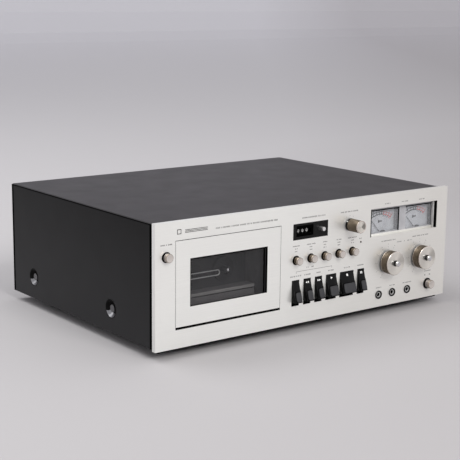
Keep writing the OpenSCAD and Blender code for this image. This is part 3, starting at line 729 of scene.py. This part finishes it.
def make_level_knob(node, trim):
    """A wide knurled knob on a black skirt, and the small steel knob that stands in its middle."""
    low, high = mm_box(node)
    c = mid(node)
    r = (high.x - low.x) / 2
    tip = low.y
    bm = bmesh.new()
    add_lathe(bm, c.x, c.z, [
        (SHAFT_RADIUS, high.y, 0), (SHAFT_RADIUS, -8.2, 0), (3.25, -8.2, 3), (3.25, tip + 0.3, 3),
        (3.5, tip + 0.1, 1), (r - 0.9, tip + 0.05, 1), (r - 0.5, tip, 1), (r - 0.25, tip + 0.1, 2),
        (r, tip + 0.45, 2), (r, tip + 0.6, 2), (r - 0.3, tip + 0.75, 0), (r - 0.1, tip + 0.9, 0),
        (r - 0.1, -3.1, 0), (r - 0.3, -2.9, 0), (r, -2.85, 2), (r, -2.45, 2), (r - 1.0, -2.4, 3),
        (r - 1.0, -1, 3), (4, -1, 3), (4, high.y, 0), (SHAFT_RADIUS, high.y, 0)], knurl=(11, 12, 0.22, 90))
    face = node.replace("_level_knob", "_face")
    piece(bm, node + "_turned", ["bronze", face, "champagne_edge", "key"], node, [node])
    low, high = mm_box(trim)
    tip = low.y
    bm = bmesh.new()
    add_lathe(bm, c.x, c.z, [
        (0, tip + 0.1, 1), (2.1, tip, 1), (2.4, tip, 1), (3, tip + 0.6, 1), (3, tip + 2.0, 1),
        (2.7, tip + 2.2, 0), (2.7, tip + 2.6, 0), (2.9, tip + 2.8, 0), (2.9, -8.8, 0), (2.6, -8.6, 0),
        (2, -8.6, 0), (2, high.y, 0), (0, high.y, 0)], knurl=(7, 8, 0.12, 30))
    piece(bm, trim + "_turned", ["screw_black", "steel"], trim, [trim])


make_output_knob()
make_level_knob("mic_level_knob", "mic_trim_knob")
make_level_knob("line_level_knob", "line_trim_knob")


# ---------------------------------------------------------------- small parts in the panel


def jack_sleeves():
    """A thin sleeve in the mouth of each front jack, pale at its front as a painted highlight and black deeper
    in as painted shade, and a black ring.
    """
    bm = bmesh.new()
    for x in JACKS:
        # painted highlight at the sleeve's mouth, painted shade deeper in the bore
        add_lathe(bm, x, JACK_Z, [
            (3.1, 0.1, 0), (3, -0.3, 0), (2.5, -0.3, 0), (2.4, 0.2, 0), (2.4, 0.9, 0), (2.4, 1, 1), (2.4, 6, 1),
            (3.1, 6, 1), (3.1, 0.1, 0)], 40)
        add_lathe(bm, x, JACK_Z, [
            (4.7, -0.9, 1), (4.5, -1.2, 1), (4.1, -1.2, 1), (3.15, -0.4, 1), (3.15, 5.9, 1), (3.55, 5.9, 1),
            (3.55, -0.5, 1), (4.7, -0.5, 1), (4.7, -0.9, 1)], 40)
    piece(bm, "jack_sleeves", ["bar", "mask"], "chassis")


def door_edge():
    """Thin black lines of painted shadow on the fascia along the door's bottom and top gaps."""
    bm = bmesh.new()
    low, high = mm_box("door_panel")
    for z in ((low.z - 2.5, low.z - 1.82), (high.z + 0.32, high.z + 0.62)):
        ink_box(bm, (low.x - 0.4, high.x + 0.4), z)
    piece(bm, "door_edge", ["mask"], "chassis")


def cover_seams():
    """Dark seams on the cover's upright sides along the fascia and the back, and a line of painted shadow under
    the top's fold.
    """
    low, high = mm_box("top_cover")
    bm = bmesh.new()
    for x in ((low.x - 0.05, low.x + 0.05), (high.x - 0.05, high.x + 0.05)):
        # painted shadow under the fold of the top
        add_box(bm, x, (low.y, high.y), (high.z - 1.5, high.z - 0.5), 0)
        add_box(bm, x, (low.y, low.y + 4.4), (low.z, high.z - 1.5), 0)
        add_box(bm, x, (high.y - 4, high.y - 0.2), (low.z, high.z - 1.5), 0)
    piece(bm, "cover_seams", ["mask"], "chassis")


def counter_mask():
    """The black plate with one slot that shows a single row of the counter's numerals."""
    bm = bmesh.new()
    add_frame(bm, (179.75, 203.15), (95.15, 106.65), (181.6, 201.2), (98.4, 103.1), (0.9, 1.7), 0, 0.15)
    piece(bm, "counter_mask", ["mask"], "chassis")


def window_mask():
    """A black border in front of the door's window, wider on the right."""
    bm = bmesh.new()
    add_frame(bm, (42.05, 140.35), (40.95, 89.95), (42.9, 135.6), (41.2, 88.6), (0.4, 0.85), 0, 0.08)
    add_box(bm, (137.6, 137.9), (0.32, 0.5), (41.6, 88.4), 1)
    piece(bm, "window_mask", ["mask", "key_pad"], "door")


def ledge_lip():
    """A pale strip of painted light along the top of the holder's ledge, and a dark line of painted shade under
    it.
    """
    bm = bmesh.new()
    add_box(bm, (49.8, 132.6), (11.6, 11.98), (46.2, 49.45), 0, 0.15)
    add_box(bm, (49.8, 132.6), (11.75, 11.98), (45.2, 46.2), 1)
    piece(bm, "ledge_lip", ["soft_ink_and_light", "mask"], "door")


def front_lip():
    """A dark lip below the fascia, a guess at what makes the dark line there; the CAD has none."""
    bm = bmesh.new()
    end_gap, drop = 7, 3.6
    add_box(bm, (end_gap, PANEL_SIZE.x - end_gap), (5.9, 8.2), (-drop, 1), 0, 0.2)
    piece(bm, "front_lip", ["mask"], "chassis")


def socket_rings():
    """White and red rings at the foot of the phono sockets."""
    bm = bmesh.new()
    plate = REAR_FACE + 1.5
    for i, x in enumerate(SOCKETS):
        mat = i % 2
        add_lathe(bm, x, SOCKET_Z, [(4.25, plate, mat), (5.6, plate, mat), (5.6, plate + 0.9, mat),
                                    (5.3, plate + 1.2, mat), (4.25, plate + 1.2, mat), (4.25, plate, mat)], 40)
    piece(bm, "socket_rings", ["socket_white", "socket_red"], "chassis")


def rear_plate():
    """A thin metal plate on the back, with plain strokes where the real one has its data."""
    bm = bmesh.new()
    add_box(bm, (150, 222), (REAR_FACE, REAR_FACE + 0.4), (28, 58), 0, 0.15)
    draw = random.Random(11)
    left = 154
    for z in (53, 48.5, 44, 37, 32.5):
        right = left + draw.uniform(38, 62)
        x = left
        while x < right:
            wide = draw.uniform(1.2, 3.4)
            add_box(bm, (x, x + wide), (REAR_FACE + 0.38, REAR_FACE + 0.43), (z - 0.7, z + 0.7), 1)
            x += wide + 1
    piece(bm, "rear_plate", ["panel_edge", "print"], "chassis")


def reel_caps():
    """A cap on the tip of each spindle: polished steel on the takeup side, and black on the supply side as
    painted shade.
    """
    for node in ("supply_reel", "takeup_reel"):
        c = mid(node)
        tip = mm_box(node)[0].y
        bm = bmesh.new()
        add_lathe(bm, c.x, c.z, [(0, tip - 0.9, 0), (0.9, tip - 0.8, 0), (1.9, tip - 0.1, 0),
                                 (2.2, tip - 0.02, 0), (0, tip - 0.02, 0)], 32)
        # painted shade: the supply cap is black where the takeup cap is polished
        piece(bm, node + "_cap", ["steel" if node == "takeup_reel" else "screw_black"], node)


jack_sleeves()
door_edge()
cover_seams()
counter_mask()
window_mask()
ledge_lip()
front_lip()
socket_rings()
rear_plate()
reel_caps()


# ---------------------------------------------------------------- printing on the panel

rng = random.Random(7)


def panel_print():
    """The printing on the fascia: a plain badge, rows of strokes where the names are, and a few marks."""
    bm = bmesh.new()

    def words(centre, width, z, height, mat=1):
        ink_words(bm, (centre - width / 2, centre + width / 2), z, height, rng, mat)

    # A plain badge: three rules and a small frame
    for i in range(3):
        ink_box(bm, (35.5, 63), (116.7 + 1.3 * i, 117.3 + 1.3 * i))
    for x, z in (((26, 31), (120.2, 120.9)), ((26, 31), (116.0, 116.7)), ((26, 26.7), (116.7, 120.2)),
                 ((30.3, 31), (116.7, 120.2))):
        ink_box(bm, x, z)
    for x, z, height in (((73, 153), 117, 1.7), ((6.5, 20), 107, 1.5), ((187, 220), 115, 1.5),
                         ((242, 268), 115, 1.5)):
        ink_words(bm, x, z, height, rng, 1)
    # Over the function buttons
    for x, width in ((179.7, 10), (200.3, 12), (220.2, 6), (240.5, 7), (260.7, 14)):
        words(x, width, 85.5, 1.2)
        words(x, 4, 82.5, 1.1)
        words(x, 4, 79.6, 1.1)
    ink_words(bm, (271, 275), 83, 1.2, rng, 0)
    # Over the keys, with a bracket over the record keys
    for x, width in ((179.5, 15), (195.8, 9), (211.9, 6), (230.3, 9), (253.4, 9), (274.5, 11)):
        words(x, width, 52.6, 1.5)
    ink_box(bm, (180, 231), (57.2, 57.6), 1)
    for x in (180, 230.6):
        ink_box(bm, (x, x + 0.4), (55.4, 57.2), 1)
    for x in (196, 203):
        words(x, 2.8, 60.5, 1.5)
    # Over the meters, over and between the level knobs, over the jacks and the power button
    for x, width in ((313, 9), (340, 10), (368, 10)):
        words(x, width, 118, 1.3)
    for x, width in ((316.5, 22), (367.7, 26)):
        words(x, width, 75.4, 1.4)
    for x in (333.5, 350):
        words(x, 7, 71.9, 1.2)
    for x, width in zip(JACKS, (8, 8, 14)):
        words(x, width, 22.3, 1.3)
    ink_words(bm, (377, 387), 31.5, 1.3, rng, 1)
    for x in (377.8, 385.6):
        ink_box(bm, (x - 1, x + 1), (26.2, 27.4), 1)
    piece(bm, "panel_print", ["print", "soft_ink_and_light"], "chassis")


TICK = (16.2, 17.8)  # from and to this far from a level knob's middle
NUMERAL_RADIUS = 20
DOT_RADIUS = 10  # of the ticks over the output knob


def dial_marks():
    """Ticks and numerals round the level knobs, and three ticks over the output knob."""
    bm = bmesh.new()
    for node in ("mic_level_knob", "line_level_knob"):
        c = mid(node)
        for i in range(11):
            a = math.radians(240 - 30 * i)
            turn = Matrix.Translation((c.x, 0, c.z)) @ Matrix.Rotation(-a, 4, "Y")
            made = add_box(bm, TICK, (-INK, -INK / 4), (-0.16, 0.16))
            bmesh.ops.transform(bm, matrix=turn, verts=made["verts"])
            x, z = c.x + NUMERAL_RADIUS * math.cos(a), c.z + NUMERAL_RADIUS * math.sin(a)
            digit_mesh(bm, str(i), facing(x, -INK / 2, z), 1.5)
    c = mid("output_knob")
    for a in (60, 90, 120):
        x = c.x + DOT_RADIUS * math.cos(math.radians(a))
        z = c.z + DOT_RADIUS * math.sin(math.radians(a))
        ink_box(bm, (x - 0.3, x + 0.3), (z - 0.3, z + 0.3))
    arc_strip(bm, 341.7, 71.9, -INK / 4, 0.25, 0.45, 0, 360, 0)
    piece(bm, "dial_marks", ["soft_ink_and_light"], "chassis")


panel_print()
dial_marks()


# ---------------------------------------------------------------- meters


SCALE_Y = 13.5  # the front of the scale card
NEEDLE_Z = 82.0  # the needles' pivots
NEEDLE_REST = -43  # degrees from straight up
NEEDLE_Y = (12.1, 12.4)
ARC_Z = 75.0  # the centre of the scale's arcs
NUMERAL_ARC = 33.4
METER_OFFSET = 27.4  # from the middle of the pair to each pivot


def meter_print(cx):
    """Two flat arcs with ticks and numerals, the right part of them red, and three plain strokes below."""
    bm = bmesh.new()
    y = SCALE_Y - 0.01
    for radius, width in ((28.5, 1.15), (31.6, 0.8)):
        arc_strip(bm, cx, ARC_Z, y, radius, width, -36, 8, 0)
        arc_strip(bm, cx, ARC_Z, y, radius, width * 0.8, 8.5, 36, 1)
    for a in (10, 17, 24, 31):
        arc_strip(bm, cx, ARC_Z, y, 26.8, 1.7, a - 1.3, a + 1.3, 0 if a < 26 else 1)
    for a, number in ((-34, "20"), (-21, "10"), (-11, "7"), (-3, "5"), (4, "3"), (10, "0"), (18, "1"),
                      (26, "2"), (34, "3")):
        mat = 1 if a > 8 else 0
        t = math.radians(a)
        arc_strip(bm, cx, ARC_Z, y, 30.1, 3.6, a - 0.9, a + 0.9, mat)
        x, z = cx + NUMERAL_ARC * math.sin(t), ARC_Z + NUMERAL_ARC * math.cos(t)
        digit_mesh(bm, number, facing(x, y - INK / 2, z), 2.3, mat)
    for i in range(3):
        x, z = (cx - 3.3 + 2.2 * i, cx - 1.4 + 2.2 * i), (ARC_Z + 18.8 + 0.5 * i, ARC_Z + 22 - 0.4 * i)
        ink_box(bm, x, z, 0, y)
    return bm


def make_needle(node, cx):
    """A thin tapered pointer with a round hub."""
    bm = bmesh.new()
    add_lathe(bm, cx, NEEDLE_Z, [(0.86, 11.6, 0), (1.7, 11.6, 0), (2, 11.9, 0), (2, 12.8, 0), (1.8, 13, 0),
                                 (0.86, 13, 0), (0.86, 11.6, 0)], 32)
    turn = Matrix.Translation((cx, 0, NEEDLE_Z)) @ Matrix.Rotation(math.radians(NEEDLE_REST), 4, "Y")
    corners = [(-0.4, 1.5), (0.4, 1.5), (0.22, 20.3), (-0.22, 20.3)]
    loft(bm, *([bm.verts.new(turn @ Vector((x, y, z))) for x, z in corners] for y in NEEDLE_Y))
    piece(bm, node + "_pointer", ["print"], node, [node])


METERS_X = mid("meter_units").x
for side, cx in (("left", METERS_X - METER_OFFSET), ("right", METERS_X + METER_OFFSET)):
    piece(meter_print(cx), "meter_scale_" + side, ["print", "print_red"], "chassis")
    make_needle("meter_needle_" + side, cx)


def meter_liner():
    """Black strips of painted shadow along the ends and top of the meters' opening, and the caps over the
    needles' pivots.
    """
    bm = bmesh.new()
    wall = (82.1, 113.6)
    # painted shadow: black strips down the right and left ends of the opening
    add_box(bm, (391.1, 393.25), (0.4, 5.4), wall, 0, 0.12)
    add_box(bm, (287.45, 288.9), (0.15, 5.4), wall, 0, 0.1)
    add_box(bm, (389.6, 391), (2.4, 5.4), wall, 1, 0.1)
    add_box(bm, (288.9, 389.5), (4.4, 5.45), (82.05, 84.3), 2, 0.1)
    for x in WINDOWS:
        # painted shade along the top of each window and down its right side
        add_box(bm, (x - 22, x + 22), (5.2, 5.55), (110, 111))
        add_box(bm, (x + 20.9, x + 21.95), (5.2, 5.9), (84.4, 110.3))
        # a half disc that stands on the window's sill, in front of the needle
        arc = [math.radians(a) for a in range(0, 181, 12)]
        outline = [(x + 3.4 * math.cos(a), 84.45 + 1.7 * math.sin(a)) for a in arc]
        loft(bm, *([bm.verts.new((px, y, pz)) for px, pz in outline] for y in (8.2, 9.4)))
    piece(bm, "meter_liner", ["mask", "bar", "panel"], "chassis")


meter_liner()


# ---------------------------------------------------------------- tape counter


def counter_digits(node):
    """Ten white numerals round a counter wheel, the first of them facing the window."""
    low, high = mm_box(node)
    c = mid(node)
    r = (high.z - low.z) / 2
    bm = bmesh.new()
    for i in range(10):
        turn = Matrix.Translation((c.x, c.y, c.z)) @ Matrix.Rotation(math.radians(36 * i), 4, "X")
        digit_mesh(bm, str(i), turn @ facing(0, -r - INK / 2 + 0.01, 0), 3.3, 0)
    piece(bm, node + "_digits", ["print_white"], node)


for wheel in ("counter_wheel_hundreds", "counter_wheel_tens", "counter_wheel_units"):
    counter_digits(wheel)


# ---------------------------------------------------------------- setting


# Painted shade: the paper's colour runs from this darker near tone to the paler far one, for the light's
# falloff
FLOOR_NEAR = (0.462, 0.446, 0.452)
FLOOR_FAR = (0.69, 0.675, 0.705)
# The paper, in metres: how far it reaches, where it starts to curve up, and how tightly
PAPER_REACH, BEND_START, BEND_RADIUS = 40, 6, 3


LIGHTS_AIM = Vector((0, 0, 0.06))
# The camera, from the middle of the fascia's bottom edge, in metres, and its angles in degrees
CAMERA_PLACE = Vector((-0.8242, -0.9301, 0.3508))
CAMERA_AZIMUTH, CAMERA_ELEVATION, CAMERA_ROLL = 37.36, 11.48, 0.62


def setting():
    """A sheet of pale paper that curves up behind the deck, with painted shade that darkens it toward the front
    and to the right, and two soft lights in a bright tent.
    """
    paper = Shader("floor_paper", FLOOR_NEAR, 0.95, Specular_IOR_Level=0.1)
    depth = paper.axis("Y")
    painted_depth_shade = paper.ramp(paper.spread(depth, 0.5, 7.5), FLOOR_NEAR, FLOOR_FAR, 0, 1)
    # painted shade: the paper darkens to the right of the deck, for its shadow
    across = paper.combine("VectorMath", "DOT_PRODUCT", paper.coords, (0.79, -0.61, 0)).outputs["Value"]
    shifted = paper.combine("Math", "SUBTRACT", across, paper.spread(depth, 0.3, 1.1, 0.6)).outputs["Value"]
    side = paper.ramp(paper.spread(shifted, -0.45, 0.45), (1.04, 1.055, 1.055), (0.85, 0.85, 0.845), 0, 1)
    paper.set("Base Color", paper.combine("VectorMath", "MULTIPLY", painted_depth_shade, side).outputs["Vector"])
    paper.bump(paper.noise(900, 2), 0.02, 0.3)
    bm = bmesh.new()
    low = cad_box[0].z
    wall = BEND_START + BEND_RADIUS
    profile = [(-PAPER_REACH, low), (BEND_START, low)]
    for a in (math.radians(degrees) for degrees in range(10, 91, 10)):
        profile.append((BEND_START + BEND_RADIUS * math.sin(a), low + BEND_RADIUS - BEND_RADIUS * math.cos(a)))
    profile.append((wall, low + wall))
    left, right = ([bm.verts.new((x, y, z)) for y, z in profile] for x in (-PAPER_REACH, PAPER_REACH))
    for i in range(len(profile) - 1):
        bm.faces.new((left[i], right[i], right[i + 1], left[i + 1]))
    mesh = bpy.data.meshes.new("floor")
    bm.to_mesh(mesh)
    bm.free()
    mesh.materials.append(paper.mat)
    floor = bpy.data.objects.new("floor", mesh)
    COLLECTION.objects.link(floor)
    world = bpy.data.worlds.new("studio")
    world.use_nodes = True
    background = world.node_tree.nodes["Background"].inputs
    background["Color"].default_value = (0.98, 0.97, 1.0, 1)
    background["Strength"].default_value = 0.825
    bpy.context.scene.world = world
    for name, place, size, power, color in (
        ("overhead_light", (-0.7, 0.9, 1.95), 1.4, 19.5, (1.0, 1.0, 1.0)),
        ("front_light", (-0.15, -3.1, 2.15), 1.4, 77, (1.0, 0.985, 0.965)),
    ):
        data = bpy.data.lights.new(name, "AREA")
        data.size, data.energy, data.color = size, power, color
        light = bpy.data.objects.new(name, data)
        light.location = place
        light.rotation_euler = (LIGHTS_AIM - Vector(place)).to_track_quat("-Z", "Y").to_euler()
        COLLECTION.objects.link(light)


def camera():
    """Looks at the deck from the front left and a little above, with a long lens."""
    low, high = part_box("front_panel")
    anchor = Vector(((low.x + high.x) / 2, low.y, low.z))
    azimuth, elevation, roll = map(math.radians, (CAMERA_AZIMUTH, CAMERA_ELEVATION, CAMERA_ROLL))
    data = bpy.data.cameras.new("camera")
    data.sensor_width, data.lens = 36, 92.57
    data.clip_start, data.clip_end = 0.05, 60
    cam = bpy.data.objects.new("camera", data)
    forward = Vector((math.sin(azimuth) * math.cos(elevation), math.cos(azimuth) * math.cos(elevation),
                      -math.sin(elevation)))
    right = Vector((math.cos(azimuth), -math.sin(azimuth), 0))
    up = right.cross(forward)
    tilted_right = right * math.cos(roll) + up * math.sin(roll)
    tilted_up = up * math.cos(roll) - right * math.sin(roll)
    turn = Matrix((tilted_right, tilted_up, -forward)).transposed().to_4x4()
    cam.matrix_world = Matrix.Translation(anchor + CAMERA_PLACE) @ turn
    COLLECTION.objects.link(cam)
    bpy.context.scene.camera = cam


setting()
camera()
bpy.context.scene.view_settings.view_transform = "Standard"
